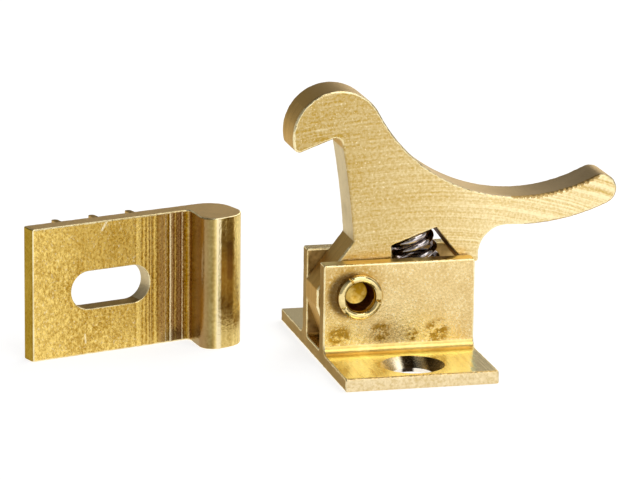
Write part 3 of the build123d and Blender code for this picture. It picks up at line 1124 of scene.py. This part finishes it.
tree = Tree(
    "springTree", CoilRadius=(coil["diameter"] - coil["wire"]) / 2 * mm, WireRadius=coil["wire"] / 2 * mm,
    Turns=turns, EndTurns=coil["endTurns"], ActiveTurns=coil["activeTurns"], EndPitch=coil["wire"] * mm,
    ActiveRise=(springLength - 2 * coil["endTurns"] * coil["wire"] - 2 * inset) * mm, Inset=inset * mm,
    Length=springLength * mm, BendRadius=bendRadius * mm, BendCentre=bendCentre * mm,
    Foot=base["foot"] * mm, Points=int(turns * coil["pointsPerTurn"]) + 1, WireSides=coil["wireSides"],
)
line = tree.node("GeometryNodeCurvePrimitiveLine")
dotted = tree.node("GeometryNodeResampleCurve", {"Curve": line, "Count": tree.size("Points")})
share = tree.node("GeometryNodeSplineParameter", output="Factor")
passed = tree.math("MULTIPLY", share, tree.size("Turns"))
# closed turns at both ends rise by the wire, and the active ones share the rest
endTurns, activeTurns = tree.size("EndTurns"), tree.size("ActiveTurns")
lower = tree.math("MINIMUM", passed, endTurns)
beyond = tree.math("SUBTRACT", passed, endTurns)
upper = tree.math("MAXIMUM", tree.math("SUBTRACT", beyond, activeTurns), 0.0)
active = tree.math("MINIMUM", tree.math("MAXIMUM", beyond, 0.0), activeTurns)
opened = tree.math("MULTIPLY", tree.math("DIVIDE", active, activeTurns), tree.size("ActiveRise"))
closed = tree.math("MULTIPLY", tree.math("ADD", lower, upper), tree.size("EndPitch"))
rise = tree.math("ADD", tree.math("ADD", closed, opened), tree.size("Inset"))
coilX, coilY = tree.around(tree.size("CoilRadius"), tree.math("MULTIPLY", passed, 2 * pi))
helix = tree.point(X=coilX, Y=coilY, Z=rise)
wound = tree.node("GeometryNodeSetPosition", {"Geometry": dotted, "Position": helix})
section = tree.node("GeometryNodeCurvePrimitiveCircle", {
    "Resolution": tree.size("WireSides"), "Radius": tree.size("WireRadius"),
})
wire = tree.node("GeometryNodeCurveToMesh", {"Curve": wound, "Profile Curve": section, "Fill Caps": True})
# both ends are ground flat, and the coil leans over along its arc
at = tree.spot()
ground = tree.math("MINIMUM", tree.math("MAXIMUM", at["Z"], 0.0), tree.size("Length"))
lean = tree.math("DIVIDE", ground, tree.size("BendRadius"))
bentX, bentZ = tree.around(tree.math("ADD", tree.size("BendRadius"), at["X"]), lean)
bent = tree.point(
    X=tree.math("ADD", bentX, tree.size("BendCentre")), Y=at["Y"],
    Z=tree.math("ADD", bentZ, tree.size("Foot")),
)
tree.finish(tree.node("GeometryNodeSetPosition", {"Geometry": wire, "Position": bent}), springSteel)
springWire = smoothOff(tree.build("springWire"), 50)
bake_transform(springWire)
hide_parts("spring")
print("spring:", len(springWire.data.polygons), "faces")


# ribs on the strike's back, seated in the plate and cut back around the slot

rib = {
    "count": 3, "spacing": 5.36, "first": 5.0, "height": 1.2, "radius": 0.45, "seat": 0.3, "sides": 20,
    "relief": 0.8,
}
ribBack = strike["thickness"] + rib["height"]
tree = Tree(
    "ribTree", Count=rib["count"], Spacing=rib["spacing"] * mm, First=rib["first"] * mm,
    Middle=(ribBack - rib["radius"]) * mm, Seat=(strike["thickness"] - rib["seat"]) * mm,
    Radius=rib["radius"] * mm, Height=strike["height"] * mm, Sides=rib["sides"],
)
rod = tree.node("GeometryNodeMeshCylinder", {
    "Vertices": tree.size("Sides"), "Radius": tree.size("Radius"), "Depth": tree.size("Height"),
})
# the side towards the plate is drawn down into it
at = tree.spot()
low = tree.node("FunctionNodeCompare", {0: at["Y"], 1: -1e-5}, operation="LESS_THAN")
sunk = tree.point(X=at["X"], Y=tree.math("SUBTRACT", tree.size("Seat"), tree.size("Middle")), Z=at["Z"])
seated = tree.node("GeometryNodeSetPosition", {"Geometry": rod, "Selection": low, "Position": sunk})
row = tree.node("GeometryNodeMeshLine", {
    "Count": tree.size("Count"), "Offset": tree.point(X=tree.size("Spacing")),
    "Start Location": tree.point(
        X=tree.size("First"), Y=tree.size("Middle"), Z=tree.math("MULTIPLY", tree.size("Height"), 0.5)
    ),
})
tree.finish(tree.node("GeometryNodeInstanceOnPoints", {"Points": row, "Instance": seated}), brassSkinShaded)
strikeRibs = tree.build("strikeRibs")
strikeRibs.data.transform(Matrix.Translation(strikePlace(0, 0, 0)) @ Matrix.Rotation(strikeYaw, 4, "Z"))
reliefRings = [slotRing(rib["relief"], v) for v in (1.0, ribBack + 1.0)]
cutAway(strikeRibs, stackedRings("relief", reliefRings, brassSkinShaded))
refinish(strikeRibs, (brassSawnEndShaded, lambda p, n: abs(n.z) > 0.9))
smoothOff(strikeRibs, 50)
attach(strikeRibs, "base")
print("ribs:", len(strikeRibs.data.polygons), "faces")


# studio

studio = {
    "floorColour": (0.42, 0.42, 0.42), "floorGlow": 0.80, "floorSize": 3.0, "floorDrop": 0.05,
    "horizon": (0.36, 0.36, 0.36), "zenith": (0.06, 0.06, 0.06), "skyFrom": 0.3, "skyTo": 0.95,
    "aim": (-0.009, 0.0, 0.012),
    "lamps": [      # name, place, size, power
        ("front", (0.17, -0.66, 0.18), (0.50, 0.34), 0.80),
        ("top", (0.12, -0.32, 0.50), (0.36, 0.34), 0.95),
        ("right", (0.38, 0.20, 0.46), (0.60, 0.52), 1.5),
        ("back", (0.34, 0.46, 0.20), (0.34, 0.30), 0.4),
    ],
}
world = bpy.data.worlds.new("studio")
world.use_nodes = True
sky = world.node_tree
heading = sky.nodes.new("ShaderNodeTexCoord").outputs["Generated"]
rising = addRange(sky, along(sky, heading, (0, 0, 1)), studio["skyFrom"], studio["skyTo"])
skyColour = addMix(sky, (*studio["horizon"], 1), (*studio["zenith"], 1), rising)
plug(sky, skyColour, sky.nodes["Background"].inputs["Color"])
scene.world = world

paleFloor = bpy.data.materials.new("paleFloor")
paleFloor.use_nodes = True
cloth = paleFloor.node_tree
cloth.nodes.remove(cloth.nodes["Principled BSDF"])
matte = cloth.nodes.new("ShaderNodeBsdfDiffuse")
matte.inputs["Color"].default_value = (*studio["floorColour"], 1)
ray = cloth.nodes.new("ShaderNodeLightPath").outputs
seen = addMath(cloth, "MAXIMUM", ray["Is Camera Ray"], ray["Is Glossy Ray"])
seen = addMath(cloth, "MAXIMUM", seen, ray["Is Transmission Ray"])
glow = cloth.nodes.new("ShaderNodeEmission")
plug(cloth, addMath(cloth, "MULTIPLY", seen, studio["floorGlow"]), glow.inputs["Strength"])
both = cloth.nodes.new("ShaderNodeAddShader")
plug(cloth, matte.outputs[0], both.inputs[0])
plug(cloth, glow.outputs[0], both.inputs[1])
plug(cloth, both.outputs[0], cloth.nodes["Material Output"].inputs["Surface"])

floorGrid = bmesh.new()
bmesh.ops.create_grid(floorGrid, x_segments=8, y_segments=8, size=studio["floorSize"])
floor = newObject("floor", floorGrid, paleFloor)
floor.location.z = -studio["floorDrop"] * mm

for name, place, size, power in studio["lamps"]:
    lamp = bpy.data.lights.new(name, "AREA")
    lamp.shape, lamp.energy = "RECTANGLE", power
    lamp.size, lamp.size_y = size
    holder = bpy.data.objects.new(name, lamp)
    holder.location = place
    holder.rotation_euler = (Vector(studio["aim"]) - Vector(place)).to_track_quat("-Z", "Y").to_euler()
    holder.visible_camera = False
    scene.collection.objects.link(holder)
print("studio:", len(studio["lamps"]), "lamps")


# camera, at the photograph's angle

shot = {
    "azimuth": 14.07, "elevation": 14.15, "roll": 0.71, "distance": 0.5140,
    "target": (-0.009184, 0.0, 0.015342), "focalPixels": 4000.0, "frameWidth": 640.0, "sensor": 36.0,
    "clip": (0.01, 20.0),
}
azimuth, elevation, roll = (radians(shot[key]) for key in ("azimuth", "elevation", "roll"))
right = Vector((cos(azimuth), -sin(azimuth), 0))
back = Vector((-sin(azimuth) * cos(elevation), -cos(azimuth) * cos(elevation), sin(elevation)))
up = back.cross(right)
turned = Matrix((right * cos(roll) + up * sin(roll), up * cos(roll) - right * sin(roll), back)).transposed()
camera = bpy.data.cameras.new("camera")
camera.sensor_width = shot["sensor"]
camera.lens = shot["focalPixels"] / shot["frameWidth"] * shot["sensor"]
camera.clip_start, camera.clip_end = shot["clip"]
cameraHolder = bpy.data.objects.new("camera", camera)
stand = Matrix.Translation(Vector(shot["target"]) + back * shot["distance"])
cameraHolder.matrix_world = stand @ turned.to_4x4()
scene.collection.objects.link(cameraHolder)
scene.camera = cameraHolder
scene.view_settings.view_transform = "Standard"
print("camera:", round(camera.lens, 1), "mm lens")
